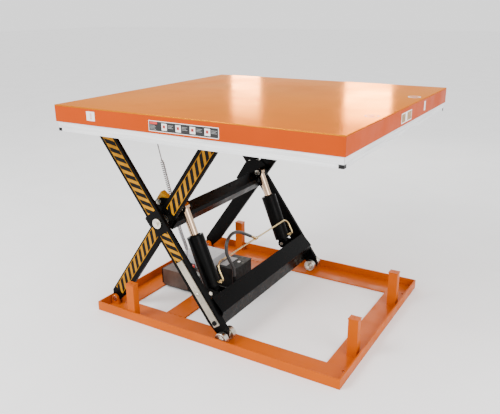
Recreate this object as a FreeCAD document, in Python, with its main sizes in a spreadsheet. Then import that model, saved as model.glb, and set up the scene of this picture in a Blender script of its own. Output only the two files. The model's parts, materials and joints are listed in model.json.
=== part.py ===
import FreeCAD, Part
import math
import os
import re
import Sketcher

# Electric scissor lift table, raised. Millimetres, +Z up, +X along the long side of the platform.
# The origin is on the floor, under the centre of the platform. Y runs across, from the near side
# (negative) to the far side. The rest pose is the fully raised one.

V = FreeCAD.Vector
ROT = FreeCAD.Rotation
PLACE = FreeCAD.Placement
AXIS_Y = V(0, 1, 0)
AXIS_Z = V(0, 0, 1)

# ---------------------------------------------------------------- driving sizes
DRIVING = {
    # platform
    "platform_length": 1600, "platform_width": 1552, "platform_height": 1257,
    "lowered_height": 269, "plate_thickness": 5, "skirt_depth": 86, "skirt_thickness": 5,
    "bar_visible": 50, "bar_hidden": 4, "bar_thickness": 10, "bar_inset": 7,
    "rib_width": 40, "rib_depth": 30, "top_pin_depth": 62, "bracket_thickness": 12,
    # base frame
    "base_length": 1560, "base_width": 1237, "base_shift": -20, "rail_height": 55,
    "rail_thickness": 8, "side_flange": 170, "end_flange": 142, "cross_plate_width": 130,
    "anchor_spacing_x": 1420, "anchor_spacing_y": 954, "anchor_shift": 10, "anchor_radius": 7,
    # stop posts
    "post_size": 43, "post_length": 54, "post_wall": 3, "post_top": 223, "cap_overhang": 2,
    "cap_thickness": 5,
    "left_post_x": -545, "left_post_y": 588, "right_post_x": 706, "right_post_y": 316,
    # scissor arms
    "arm_length": 1415, "arm_depth": 95, "arm_thickness": 20, "outer_arm_y": 552,
    "inner_arm_y": 496, "arm_end_radius": 24, "arm_taper": 105, "pivot_x": -757,
    "pin_radius": 11, "centre_pin_radius": 20, "running_gap": 0.3, "bore_fit": 0.05,
    # rollers
    "roller_radius": 36, "roller_width": 32, "top_roller_radius": 30, "top_roller_width": 30,
    # hydraulic cylinders
    "cylinder_y": 415, "barrel_radius": 48, "barrel_length": 300, "rod_radius": 22.5,
    "bore_radius": 30, "clevis_gap": 24, "ear_thickness": 10,
    "base_eye_s": 230, "base_eye_w": -25, "rod_eye_u": 97, "rod_eye_w": -22,
    # beams
    "beam_width": 80, "beam_depth": 80, "beam_wall": 5, "lower_beam_wall": 6,
    "beam_start": -30, "beam_top": 22, "gusset_thickness": 8, "pin_side_gap": 2,
    # power pack
    "motor_radius": 55, "motor_length": 190, "tank_length": 240, "tank_width": 180,
    "tank_height": 170, "box_length": 130, "box_width": 205, "box_height": 130,
    "cord_radius": 3.5, "coil_radius": 12, "hose_radius": 9.5, "pipe_radius": 5,
    "port_boss": 20, "branch_length": 74,
    "tray_length": 480, "tray_width": 360, "tray_thickness": 6, "valve_length": 60,
    "valve_width": 80, "valve_height": 90, "terminal_length": 70, "terminal_width": 80,
    "terminal_height": 36, "gland_height": 16, "solenoid_radius": 18, "solenoid_height": 48,
    "knob_radius": 10, "knob_height": 12, "stem_radius": 4, "stem_length": 26,
    # small fittings
    "lock_ring_thickness": 9, "bolt_head_height": 11, "gusset_bolt_height": 6,
    "pin_cap_thickness": 7, "switch_length": 95, "switch_width": 34, "switch_height": 56,
}

doc = FreeCAD.newDocument("ScissorLiftTable")
sheet = doc.addObject("Spreadsheet::Sheet", "Sizes")
for row, (alias, value) in enumerate(DRIVING.items(), start=1):
    sheet.set(f"A{row}", alias)
    sheet.set(f"B{row}", str(value))
    sheet.setAlias(f"B{row}", alias)
doc.recompute()


class Sizes:
    """The driving sizes as plain numbers, for places and outlines."""


s = Sizes()
for alias in DRIVING:
    setattr(s, alias, float(sheet.get(alias)))

# ---------------------------------------------------------------- derived places
half_l = s.platform_length / 2
half_w = s.platform_width / 2
top_z = s.platform_height
plate_z = top_z - s.plate_thickness
skirt_z = top_z - s.skirt_depth
base_left = s.base_shift - s.base_length / 2
base_right = s.base_shift + s.base_length / 2
base_half_w = s.base_width / 2
pin_z = s.rail_thickness + s.roller_radius + s.running_gap
top_pin_z = top_z - s.top_pin_depth
rest_angle = math.asin((top_pin_z - pin_z) / s.arm_length)
lowered_angle = math.asin((s.lowered_height - s.top_pin_depth - pin_z) / s.arm_length)
roller_x = s.pivot_x + s.arm_length * math.cos(rest_angle)
centre = V((s.pivot_x + roller_x) / 2, 0, (pin_z + top_pin_z) / 2)
half_arm = s.arm_length / 2
rest_degrees = math.degrees(rest_angle)
# inner arms: local X runs up the arm to the right, local Z to its upper left side
inner_frame = PLACE(centre, ROT(AXIS_Y, -rest_degrees))
# outer arms: the same turned round, so local X runs up the arm to the left
outer_frame = PLACE(centre, ROT(AXIS_Z, 180).multiply(ROT(AXIS_Y, -rest_degrees)))
base_eye = outer_frame.multVec(V(s.base_eye_s - half_arm, 0, s.base_eye_w))
rod_eye = inner_frame.multVec(V(s.rod_eye_u, 0, s.rod_eye_w))
cylinder_axis = (rod_eye - base_eye).normalize()
cylinder_angle = math.degrees(math.atan2(cylinder_axis.z, cylinder_axis.x))
# cylinder: local X runs from the base eye to the rod eye
cylinder_frame = PLACE(base_eye, ROT(AXIS_Y, -cylinder_angle))
cylinder_length = (rod_eye - base_eye).Length

kept = []


# ---------------------------------------------------------------- building helpers
def bind(thing, **formulas):
    """Ties properties to formulas of the sheet's aliases."""
    for name, formula in formulas.items():
        thing.setExpression(name, re.sub(r"([a-z]\w+)", r"Sizes.\1", formula))


def keep(thing, label):
    """Marks an object as a finished sub-part."""
    thing.Label = label
    kept.append(thing)
    return thing


def at(x=0.0, y=0.0, z=0.0):
    return PLACE(V(x, y, z), ROT())


def box(name, length, width, height, place, frame=PLACE()):
    """A block between its lowest corner and its sizes, given as sheet formulas."""
    block = doc.addObject("Part::Box", name)
    bind(block, Length=length, Width=width, Height=height)
    block.Placement = frame.multiply(place)
    return block


def rod_along_y(name, radius, length, x, y, z, frame=PLACE()):
    """A cylinder along +Y from y to y + length."""
    bar = doc.addObject("Part::Cylinder", name)
    bind(bar, Radius=radius, Height=length)
    bar.Placement = frame.multiply(PLACE(V(x, y, z), ROT(V(1, 0, 0), -90)))
    return bar


def rod_along_x(name, radius, length, x, y, z, frame=PLACE()):
    """A cylinder along +X from x to x + length."""
    bar = doc.addObject("Part::Cylinder", name)
    bind(bar, Radius=radius, Height=length)
    bar.Placement = frame.multiply(PLACE(V(x, y, z), ROT(AXIS_Y, 90)))
    return bar


def rod_along_z(name, radius, length, x, y, z):
    """A cylinder along +Z from z to z + length."""
    bar = doc.addObject("Part::Cylinder", name)
    bind(bar, Radius=radius, Height=length)
    bar.Placement = at(x, y, z)
    return bar


def cut(name, base, *tools):
    """base less every tool."""
    result = base
    for number, tool in enumerate(tools):
        step = doc.addObject("Part::Cut", f"{name}_cut{number}")
        step.Base = result
        step.Tool = tool
        result = step
    return result


def fuse(name, *shapes):
    joined = doc.addObject("Part::MultiFuse", f"{name}_fuse")
    joined.Shapes = list(shapes)
    joined.Refine = True
    return joined


def group(label, pieces):
    """Separate solids that share one node."""
    set_of = doc.addObject("Part::Compound", f"{label}_set")
    set_of.Links = pieces
    return keep(set_of, label)


def origin_plane(body, role):
    return next(f for f in body.Origin.OriginFeatures if f.Role == role)


def outline_sketch(body, name, segments, circles=()):
    """A sketch on the body's XZ plane, of line and arc segments; circles are (x, z, radius alias)."""
    sketch = body.newObject("Sketcher::SketchObject", name)
    sketch.AttachmentSupport = [(origin_plane(body, "XZ_Plane"), "")]
    sketch.MapMode = "FlatFace"
    for segment in segments:
        sketch.addGeometry(segment, False)
    for x, z, radius in circles:
        index = sketch.addGeometry(Part.Circle(V(x, z, 0), AXIS_Z, 1.0), False)
        ring = sketch.addConstraint(Sketcher.Constraint("Radius", index, 1.0))
        bind(sketch, **{f"Constraints[{ring}]": radius})
    return sketch


def polygon(points):
    """Straight segments round a list of (x, z) corners."""
    corners = [V(x, z, 0) for x, z in points]
    return [Part.LineSegment(a, b) for a, b in zip(corners, corners[1:] + corners[:1])]


def inset_polygon(points, wall):
    """The same closed outline moved inward by a wall thickness."""
    middle = V(sum(p[0] for p in points) / len(points), sum(p[1] for p in points) / len(points), 0)
    lines = []
    corners = [V(x, z, 0) for x, z in points]
    for a, b in zip(corners, corners[1:] + corners[:1]):
        along = (b - a).normalize()
        normal = V(-along.y, along.x, 0)
        if (middle - a).dot(normal) < 0:
            normal = normal * -1
        lines.append((a + normal * wall, along))
    result = []
    for (p, d), (q, e) in zip(lines[-1:] + lines[:-1], lines):
        cross = d.x * e.y - d.y * e.x
        t = ((q.x - p.x) * e.y - (q.y - p.y) * e.x) / cross
        hit = p + d * t
        result.append((hit.x, hit.y))
    return result


def plate(name, segments, thickness, middle_y, frame=PLACE(), circles=()):
    """A plate in the XZ plane of its frame, centred on middle_y."""
    body = doc.addObject("PartDesign::Body", name)
    sketch = outline_sketch(body, f"{name}_outline", segments, circles)
    pad = body.newObject("PartDesign::Pad", f"{name}_pad")
    pad.Profile = sketch
    pad.Midplane = True
    bind(pad, Length=thickness)
    body.Placement = frame.multiply(at(y=middle_y))
    return body


def turned(name, profile, place):
    """A body turned about its own Y axis from a profile of (radius, y) points."""
    body = doc.addObject("PartDesign::Body", name)
    sketch = body.newObject("Sketcher::SketchObject", f"{name}_profile")
    sketch.AttachmentSupport = [(origin_plane(body, "XY_Plane"), "")]
    sketch.MapMode = "FlatFace"
    for segment in polygon(profile):
        sketch.addGeometry(segment, False)
    turn = body.newObject("PartDesign::Revolution", f"{name}_turn")
    turn.Profile = sketch
    turn.ReferenceAxis = (sketch, ["V_Axis"])
    turn.Angle = 360
    body.Placement = place
    return body


def tube_along(points, radius, share=0.45):
    """A round tube along straight runs joined by tangent arcs; returns its shape and bend radii."""
    edges = []
    radii = []
    start = points[0]
    for before, corner, after in zip(points, points[1:], points[2:]):
        into = (corner - before).normalize()
        out = (after - corner).normalize()
        turn = into.getAngle(out)
        back = share * min((corner - before).Length, (after - corner).Length)
        bend = back / math.tan(turn / 2)
        radii.append(bend)
        first = corner - into * back
        last = corner + out * back
        inward = (out - into).normalize()
        middle = corner + inward * (bend / math.cos(turn / 2) - bend)
        edges.append(Part.LineSegment(start, first).toShape())
        edges.append(Part.Arc(first, middle, last).toShape())
        start = last
    edges.append(Part.LineSegment(start, points[-1]).toShape())
    path = Part.Wire(edges)
    heading = (points[1] - points[0]).normalize()
    section = Part.Wire([Part.Circle(points[0], heading, radius).toShape()])
    solid = path.makePipeShell([section], True, False)
    wanted = math.pi * radius ** 2 * path.Length
    return solid, radii, path.Length, solid.Volume / wanted


def cord_solid(label, points, radius):
    """A plain tube for a cord, hose or pipe; prints its bends."""
    shape, radii, length, ratio = tube_along(points, radius)
    feature = doc.addObject("Part::Feature", label)
    feature.Shape = shape
    tightest = min(radii) if radii else 0
    print(f"{label}: length {length:.0f}, tightest bend {tightest:.0f}, volume ratio {ratio:.4f}")
    return feature


# ---------------------------------------------------------------- base frame
def side_rail(label, side):
    """Angle section: a wide flat flange with an upstand on its outer edge, and two anchor holes."""
    outer = side * base_half_w
    flange_y = min(outer, outer - side * s.side_flange)
    upstand_y = min(outer, outer - side * s.rail_thickness)
    flange = box(f"{label}_flange", "base_length", "side_flange", "rail_thickness",
                 at(base_left, flange_y, 0))
    upstand = box(f"{label}_upstand", "base_length", "rail_thickness", "rail_height",
                  at(base_left, upstand_y, 0))
    joined = fuse(label, flange, upstand)
    holes = [rod_along_z(f"{label}_hole{n}", "anchor_radius", "rail_thickness * 4",
                         s.anchor_shift + end * s.anchor_spacing_x / 2,
                         side * s.anchor_spacing_y / 2, -s.rail_thickness)
             for n, end in enumerate((-1, 1))]
    keep(cut(label, joined, *holes), label)


def end_rail(label, end):
    """Angle between the side rails: its flange lies between theirs, its upstand stands on them."""
    outer = base_right if end > 0 else base_left
    inner_half = base_half_w - s.side_flange
    flange_x = min(outer, outer - end * s.end_flange)
    upstand_x = min(outer, outer - end * s.rail_thickness)
    flange = box(f"{label}_flange", "end_flange", "base_width - 2 * side_flange", "rail_thickness",
                 at(flange_x, -inner_half, 0))
    foot = box(f"{label}_foot", "rail_thickness", "base_width - 2 * side_flange", "rail_height",
               at(upstand_x, -inner_half, 0))
    upstand = box(f"{label}_upstand", "rail_thickness", "base_width - 2 * rail_thickness",
                  "rail_height - rail_thickness",
                  at(upstand_x, -base_half_w + s.rail_thickness, s.rail_thickness))
    return fuse(label, flange, foot, upstand)


side_rail("side_rail_near", -1)
side_rail("side_rail_far", 1)
group("end_rails", [end_rail("end_rail_left", -1), end_rail("end_rail_right", 1)])

cross_plate_x = -415
keep(box("cross_plate", "cross_plate_width", "base_width - 2 * side_flange", "rail_thickness",
         at(cross_plate_x, -base_half_w + s.side_flange, 0)), "base_cross_plate")

post_places = [(s.left_post_x, -s.left_post_y), (s.left_post_x, s.left_post_y),
               (s.right_post_x, -s.right_post_y), (s.right_post_x, s.right_post_y)]
posts = []
caps = []
for number, (x, y) in enumerate(post_places):
    low_x = x - s.post_length / 2
    low_y = y - s.post_size / 2
    shell = box(f"post{number}_shell", "post_length", "post_size",
                "post_top - cap_thickness - rail_thickness", at(low_x, low_y, s.rail_thickness))
    hollow = box(f"post{number}_hollow", "post_length - 2 * post_wall", "post_size - 2 * post_wall",
                 "post_top", at(low_x + s.post_wall, low_y + s.post_wall, s.rail_thickness - 1))
    posts.append(cut(f"post{number}", shell, hollow))
    lid = box(f"cap{number}_lid", "post_length + 2 * cap_overhang", "post_size + 2 * cap_overhang",
              "cap_thickness",
              at(low_x - s.cap_overhang, low_y - s.cap_overhang, s.post_top - s.cap_thickness))
    drain = rod_along_z(f"cap{number}_drain", "cap_thickness * 0.6", "cap_thickness * 3",
                        x, y, s.post_top - 2 * s.cap_thickness)
    caps.append(cut(f"cap{number}", lid, drain))
group("stop_posts", posts)
group("post_caps", caps)


# ---------------------------------------------------------------- pivot brackets and pins
def ear_outline(half_width, top, bottom_radius):
    """An ear from a flat root at z = top down (or up) to a round end at the origin."""
    sign = 1 if top > 0 else -1
    r = bottom_radius
    start = V(-r, 0, 0)
    end = V(r, 0, 0)
    return [Part.LineSegment(V(-half_width, top, 0), start),
            Part.Arc(start, V(0, -sign * r, 0), end),
            Part.LineSegment(end, V(half_width, top, 0)),
            Part.LineSegment(V(half_width, top, 0), V(-half_width, top, 0))]


def pivot_ears(label, x, z, root_z, arm_y, half_width):
    """Two ears astride each arm of a pair, near and far, with a bore for the pin."""
    offset = s.arm_thickness / 2 + s.pin_side_gap + s.bracket_thickness / 2
    ears = []
    for side in (-1, 1):
        for step in (-1, 1):
            name = f"{label}{'nf'[side > 0]}{'io'[step > 0]}"
            ears.append(plate(name, ear_outline(half_width, root_z - z, s.arm_end_radius),
                              "bracket_thickness", side * (arm_y + step * offset), at(x, 0, z),
                              [(0, 0, "pin_radius")]))
    return group(label, ears)


def pins(label, x, z, arm_y, reach):
    """A pin with a flat head on its outer end, through each arm of a pair."""
    made = []
    for side in (-1, 1):
        inner = side * (arm_y - reach)
        shank = rod_along_y(f"{label}_shank{side + 1}", "pin_radius", f"{2 * reach}",
                            x, min(inner, side * (arm_y + reach)), z)
        head_y = arm_y + reach - 0.01 if side > 0 else -(arm_y + reach + s.cap_thickness)
        head = rod_along_y(f"{label}_head{side + 1}", "pin_radius * 1.5", "cap_thickness + 0.01",
                           x, head_y, z)
        made.append(fuse(f"{label}{side + 1}", shank, head))
    return group(label, made)


pin_reach = s.arm_thickness / 2 + s.pin_side_gap + s.bracket_thickness
pivot_ears("base_pivot_brackets", s.pivot_x, pin_z, s.rail_thickness, s.inner_arm_y, 30)
pins("base_pins", s.pivot_x, pin_z, s.inner_arm_y, pin_reach)
pivot_ears("platform_brackets", s.pivot_x, top_pin_z, plate_z, s.outer_arm_y, s.arm_end_radius)
pins("platform_pins", s.pivot_x, top_pin_z, s.outer_arm_y, pin_reach)


# ---------------------------------------------------------------- scissor arms
def arm_outline():
    """Flat bar with round ends; each end is cut upright on one side and tapers on the other."""
    deep = s.arm_depth / 2
    r = s.arm_end_radius
    upright_start = (deep * math.sin(rest_angle) - r) / math.cos(rest_angle)
    taper_reach = math.hypot(s.arm_taper, deep)
    tangent = math.atan2(-deep, s.arm_taper) - math.acos(r / taper_reach)
    upright = math.pi - rest_angle
    middle = (upright + tangent + 2 * math.pi) / 2

    def end(sign):
        def point(x, z):
            return V(sign * (x - half_arm), sign * z, 0)
        round_points = [point(r * math.cos(a), r * math.sin(a)) for a in (upright, middle, tangent)]
        return point(upright_start, deep), round_points, point(s.arm_taper, -deep)

    low_corner, low_round, low_taper = end(1)
    high_corner, high_round, high_taper = end(-1)
    return [Part.LineSegment(low_corner, low_round[0]), Part.Arc(*low_round),
            Part.LineSegment(low_round[2], low_taper), Part.LineSegment(low_taper, high_corner),
            Part.LineSegment(high_corner, high_round[0]), Part.Arc(*high_round),
            Part.LineSegment(high_round[2], high_taper), Part.LineSegment(high_taper, low_corner)]


for side, where in ((-1, "near"), (1, "far")):
    keep(plate(f"inner_{where}", arm_outline(), "arm_thickness", side * s.inner_arm_y, inner_frame,
               [(0, 0, "centre_pin_radius + bore_fit"), (-half_arm, 0, "pin_radius + bore_fit"),
                (half_arm, 0, "pin_radius")]), f"inner_arm_{where}")
    keep(plate(f"outer_{where}", arm_outline(), "arm_thickness", -side * s.outer_arm_y, outer_frame,
               [(0, 0, "centre_pin_radius"), (-half_arm, 0, "pin_radius"),
                (half_arm, 0, "pin_radius + bore_fit")]), f"outer_arm_{where}")

# centre pivots: pin, spacer between the arms, and a locking ring with its bolt on the outside
inner_face = s.inner_arm_y - s.arm_thickness / 2
outer_face = s.outer_arm_y + s.arm_thickness / 2
gap_inner = s.inner_arm_y + s.arm_thickness / 2
gap_outer = s.outer_arm_y - s.arm_thickness / 2
centre_pins = []
spacers = []
locks = []
for side in (-1, 1):
    low = min(side * inner_face, side * outer_face)
    centre_pins.append(rod_along_y(f"centre_pin{side + 1}", "centre_pin_radius",
                                   "outer_arm_y - inner_arm_y + arm_thickness",
                                   centre.x, low, centre.z))
    ring_low = min(side * (gap_inner + 1), side * gap_outer)
    ring = rod_along_y(f"spacer{side + 1}_outer", "centre_pin_radius * 1.8",
                       "outer_arm_y - inner_arm_y - arm_thickness - 1",
                       centre.x, ring_low, centre.z)
    bore = rod_along_y(f"spacer{side + 1}_bore", "centre_pin_radius", "arm_length / 4",
                       centre.x, ring_low - s.arm_length / 8, centre.z)
    spacers.append(cut(f"spacer{side + 1}", ring, bore))
    ring_face = outer_face + s.lock_ring_thickness
    ring_low = min(side * outer_face, side * ring_face)
    locks.append(rod_along_y(f"lock_ring{side + 1}", "centre_pin_radius * 1.4",
                             "lock_ring_thickness", centre.x, ring_low, centre.z))
    bolt_low = min(side * ring_face, side * (ring_face + s.bolt_head_height))
    head = doc.addObject("Part::Prism", f"lock_bolt{side + 1}")
    head.Polygon = 6
    bind(head, Circumradius="centre_pin_radius * 0.7", Height="bolt_head_height")
    head.Placement = PLACE(V(centre.x, bolt_low, centre.z), ROT(V(1, 0, 0), -90))
    locks.append(head)
group("centre_pins", centre_pins)
group("centre_spacers", spacers)
group("centre_lock_rings", locks)


# ---------------------------------------------------------------- rollers and axles
def roller(name, radius, width, y, x, z):
    """A turned steel roller with a bore for its axle and a shallow groove in each face."""
    bore = s.pin_radius + s.bore_fit
    half = width / 2
    dish = 3
    profile = [(bore, -half), (bore * 1.6, -half), (bore * 1.8, -half + dish),
               (radius * 0.75, -half + dish), (radius * 0.85, -half), (radius - 2, -half),
               (radius, -half + 2), (radius, half - 2), (radius - 2, half), (radius * 0.85, half),
               (radius * 0.75, half - dish), (bore * 1.8, half - dish), (bore * 1.6, half),
               (bore, half)]
    return turned(name, profile, at(x, y, z))


outboard_y = outer_face + 3 + s.roller_width / 2
inboard_y = gap_outer - 20 - s.roller_width / 2
group("base_rollers", [roller(f"base_roller{n}", s.roller_radius, s.roller_width, y, roller_x, pin_z)
                       for n, y in enumerate((-outboard_y, -inboard_y, inboard_y, outboard_y))])
top_roller_y = gap_inner + 3 + s.top_roller_width / 2
group("top_rollers", [roller(f"top_roller{n}", s.top_roller_radius, s.top_roller_width, y,
                             roller_x, top_pin_z)
                      for n, y in enumerate((-top_roller_y, top_roller_y))])

base_axles = []
for side in (-1, 1):
    ends = sorted((side * (inboard_y - s.roller_width / 2 - 20),
                   side * (outboard_y + s.roller_width / 2 + 4)))
    shaft = rod_along_y(f"base_axle{side + 1}_shaft", "pin_radius", f"{ends[1] - ends[0]}",
                        roller_x, ends[0], pin_z)
    collar_y = min(side * (gap_outer - 19), side * gap_outer)
    collar = rod_along_y(f"base_axle{side + 1}_collar", "arm_end_radius - 2", "19",
                         roller_x, collar_y, pin_z)
    base_axles.append(fuse(f"base_axle{side + 1}", shaft, collar))
group("base_axles", base_axles)
top_axles = []
for side in (-1, 1):
    ends = sorted((side * (inner_face - 8), side * (top_roller_y + s.top_roller_width / 2 + 1)))
    shaft = rod_along_y(f"top_axle{side + 1}_shaft", "pin_radius", f"{ends[1] - ends[0]}",
                        roller_x, ends[0], top_pin_z)
    head_y = min(side * (inner_face - 8), side * inner_face)
    head = rod_along_y(f"top_axle{side + 1}_head", "pin_radius * 1.5", "8",
                       roller_x, head_y, top_pin_z)
    top_axles.append(fuse(f"top_axle{side + 1}", shaft, head))
group("top_axles", top_axles)

# ---------------------------------------------------------------- central beam and its ears
beam_u = s.beam_start
beam_w = s.beam_top - s.beam_depth
gusset_face = inner_face - s.gusset_thickness
beam_span = "2 * inner_arm_y - arm_thickness - 2 * gusset_thickness"
beam_chamfer = 16
beam_right = beam_u + s.beam_width
beam_section = [(beam_u, s.beam_top), (beam_right, s.beam_top),
                (beam_right, beam_w + beam_chamfer), (beam_right - beam_chamfer, beam_w),
                (beam_u, beam_w)]
beam_shell = plate("central_shell", polygon(beam_section), beam_span, 0, inner_frame)
beam_hollow = plate("central_hollow", polygon(inset_polygon(beam_section, s.beam_wall)),
                    "2 * inner_arm_y", 0, inner_frame)
keep(cut("central_beam", beam_shell, beam_hollow), "central_beam")

gusset_outline = [(-125, -44), (-125, 60), (-109, 112), (31, 120), (80, 95), (125, 40), (125, -44)]
gusset_bolt_places = [(52, 94, 1.5), (3, 89, 0.8), (-51, 81, 0.8)]
gussets = []
gusset_bolts = []
for side in (-1, 1):
    gussets.append(plate(f"gusset{side + 1}", polygon(gusset_outline), "gusset_thickness",
                         side * (inner_face - s.gusset_thickness / 2), inner_frame))
    for number, (u, w, scale) in enumerate(gusset_bolt_places):
        bolt_y = min(side * inner_face, side * (inner_face + s.gusset_bolt_height))
        gusset_bolts.append(rod_along_y(f"gusset_bolt{side + 1}{number}", f"pin_radius * {scale}",
                                        "gusset_bolt_height", u, bolt_y, w, inner_frame))
group("beam_gussets", gussets)
group("gusset_bolts", gusset_bolts)

eye_u = s.rod_eye_u
eye_w = s.rod_eye_w
rod_ear = [(beam_right, s.beam_top), (beam_right, beam_w + beam_chamfer),
           (eye_u - 12, eye_w - 28),
           (eye_u + 5, eye_w - 27), (eye_u + 20, eye_w - 19), (eye_u + 27, eye_w - 2),
           (eye_u + 23, eye_w + 14), (eye_u + 9, eye_w + 25), (eye_u - 11, eye_w + 30)]
ear_offset = s.clevis_gap + s.ear_thickness / 2
rod_ears = []
pin_caps = []
for side in (-1, 1):
    for step in (-1, 1):
        name = f"{'nf'[side > 0]}{'io'[step > 0]}"
        y = side * (s.cylinder_y + step * ear_offset)
        rod_ears.append(plate(f"rod_ear_{name}", polygon(rod_ear), "ear_thickness", y, inner_frame))
        out = side * step
        face = y + out * s.ear_thickness / 2
        cap_y = min(face, face + out * s.pin_cap_thickness)
        pin_caps.append(rod_along_y(f"pin_cap_{name}", "pin_radius * 1.6", "pin_cap_thickness",
                                    eye_u, cap_y, eye_w, inner_frame))
group("rod_clevis_ears", rod_ears)
group("rod_pin_caps", pin_caps)

# ---------------------------------------------------------------- lower folded beam
back_low = V(200, -25, 0)
back_high = V(215, 56, 0)
lower_shape = [(50, -12), (118, 70), (back_high.x, back_high.y), (back_low.x, back_low.y)]
ear_root = back_low + (back_high - back_low) * 0.8
# the outer arms' frame moved to their roller pin
lower_frame = outer_frame.multiply(at(x=-half_arm))
lower_body = plate("lower_beam_body", polygon(lower_shape), "2 * outer_arm_y - arm_thickness", 0,
                   lower_frame)
lower_core = plate("lower_beam_core", polygon(inset_polygon(lower_shape, s.lower_beam_wall)),
                   "2 * outer_arm_y", 0, lower_frame)
keep(cut("lower_beam", lower_body, lower_core), "lower_beam")

eye_s = s.base_eye_s
eye_t = s.base_eye_w
base_ear = [(back_low.x, back_low.y), (ear_root.x, ear_root.y), (eye_s + 10, eye_t + 27),
            (eye_s + 24, eye_t + 15), (eye_s + 27, eye_t), (eye_s + 20, eye_t - 19),
            (eye_s + 2, eye_t - 27), (eye_s - 18, eye_t - 22)]
base_ears = []
for side in (-1, 1):
    for step in (-1, 1):
        name = f"{'nf'[side > 0]}{'io'[step > 0]}"
        base_ears.append(plate(f"base_ear_{name}", polygon(base_ear), "ear_thickness",
                               side * (s.cylinder_y + step * ear_offset), lower_frame,
                               [(eye_s, eye_t, "pin_radius")]))
group("cylinder_base_ears", base_ears)
group("cylinder_base_pins", [
    rod_along_y(f"cylinder_base_pin{side + 1}", "pin_radius",
                "2 * (clevis_gap + ear_thickness + 4)",
                base_eye.x, side * s.cylinder_y - s.clevis_gap - s.ear_thickness - 4, base_eye.z)
    for side in (-1, 1)])

# ---------------------------------------------------------------- cylinders
eye_radius = 27
rod_eye_radius = 23
barrel_start = 32
bore_start = barrel_start + 20
gland_length = 26
rod_start = 190
barrels = []
glands = []
rods = []
for side in (-1, 1):
    y = side * s.cylinder_y
    tag = "nf"[side > 0]
    tube = rod_along_x(f"barrel_{tag}_tube", "barrel_radius", "barrel_length",
                       barrel_start, y, 0, cylinder_frame)
    neck = box(f"barrel_{tag}_neck", f"{barrel_start + 4}", "2 * clevis_gap - 2", "barrel_radius",
               at(0, y - s.clevis_gap + 1, -s.barrel_radius / 2), cylinder_frame)
    knuckle = rod_along_y(f"barrel_{tag}_knuckle", f"{eye_radius}", "2 * clevis_gap - 2",
                          0, y - s.clevis_gap + 1, 0, cylinder_frame)
    solid = fuse(f"barrel_{tag}", tube, neck, knuckle)
    pin_bore = rod_along_y(f"barrel_{tag}_pin_bore", "pin_radius + bore_fit", "4 * clevis_gap",
                           0, y - 2 * s.clevis_gap, 0, cylinder_frame)
    bore = rod_along_x(f"barrel_{tag}_bore", "bore_radius", "barrel_length",
                       bore_start, y, 0, cylinder_frame)
    barrels.append(cut(f"barrel_{tag}", solid, pin_bore, bore))
    gland_x = barrel_start + s.barrel_length - gland_length
    ring = rod_along_x(f"gland_{tag}_ring", "bore_radius - 0.05", f"{gland_length}",
                       gland_x, y, 0, cylinder_frame)
    lip = rod_along_x(f"gland_{tag}_lip", "bore_radius", "6", gland_x + gland_length, y, 0,
                      cylinder_frame)
    hole = rod_along_x(f"gland_{tag}_hole", "rod_radius + bore_fit", "60", gland_x - 10, y, 0,
                       cylinder_frame)
    glands.append(cut(f"gland_{tag}", fuse(f"gland_{tag}", ring, lip), hole))
    shaft = rod_along_x(f"rod_{tag}_shaft", "rod_radius", f"{cylinder_length - rod_start - 10}",
                        rod_start, y, 0, cylinder_frame)
    piston = rod_along_x(f"rod_{tag}_piston", "bore_radius - 0.1", "24", rod_start, y, 0,
                         cylinder_frame)
    eye = rod_along_y(f"rod_{tag}_eye", f"{rod_eye_radius}", "2 * clevis_gap - 8", cylinder_length,
                      y - s.clevis_gap + 4, 0, cylinder_frame)
    pin = rod_along_y(f"rod_{tag}_pin", "pin_radius", "2 * clevis_gap - 1", cylinder_length,
                      y - s.clevis_gap + 0.5, 0, cylinder_frame)
    rods.append(fuse(f"rod_{tag}", shaft, piston, eye, pin))
group("cylinder_barrels", barrels)
group("cylinder_glands", glands)
group("cylinder_rods", rods)

# rigid pipe between the two cylinders, with a tee for the hose
port_s = 48
port_reach = 40
pipe_x = -70
pipe_z = 388
tee = V(pipe_x, 13, pipe_z)
branch_dir = V(2, -73, 42).normalize()
pipe_pieces = []
for side in (-1, 1):
    y = side * s.cylinder_y
    boss = doc.addObject("Part::Cylinder", f"port_boss{side + 1}")
    bind(boss, Radius="pipe_radius * 1.9", Height="port_boss")
    boss.Placement = cylinder_frame.multiply(
        PLACE(V(port_s, y, -s.barrel_radius), ROT(V(1, 0, 0), 180)))
    pipe_pieces.append(boss)
    route = [cylinder_frame.multVec(V(port_s, y, -s.barrel_radius - 4)),
             cylinder_frame.multVec(V(port_s, y, -s.barrel_radius - port_reach)),
             V(pipe_x, y, pipe_z), tee]
    pipe_pieces.append(cord_solid(f"pipe_run{side + 1}", route, s.pipe_radius))
pipe_pieces.append(rod_along_y("tee_body", "pipe_radius * 1.9", "30", tee.x, tee.y - 15, tee.z))
branch = doc.addObject("Part::Cylinder", "tee_branch")
bind(branch, Radius="hose_radius * 0.9", Height="branch_length")
branch.Placement = PLACE(tee, ROT(AXIS_Z, branch_dir))
pipe_pieces.append(branch)
keep(fuse("hydraulic_pipe", *pipe_pieces), "hydraulic_pipe")

# flexible hose from the tee, over in a loop and down to the bulkhead on the lower beam
hose_foot_s = 241.3
hose_foot_w = 54.1
hose_y = 297
hose_foot = lower_frame.multVec(V(hose_foot_s, hose_y, hose_foot_w))
hose_route = [tee + branch_dir * s.branch_length, V(-67, -118, 463), V(-64, -178, 495),
              V(-60, -240, 516), V(-56, -300, 514), V(-52, -342, 478), V(-46, -347, 424),
              V(-38, -325, 372), hose_foot + V(0, 0, 46), hose_foot]
keep(cord_solid("hose_tube", hose_route, s.hose_radius), "hydraulic_hose")
keep(cut("bulkhead", rod_along_z("bulkhead_body", "hose_radius * 1.25", "50", hose_foot.x,
                                 hose_foot.y, hose_foot.z - 50), lower_body), "hose_bulkhead")


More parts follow.
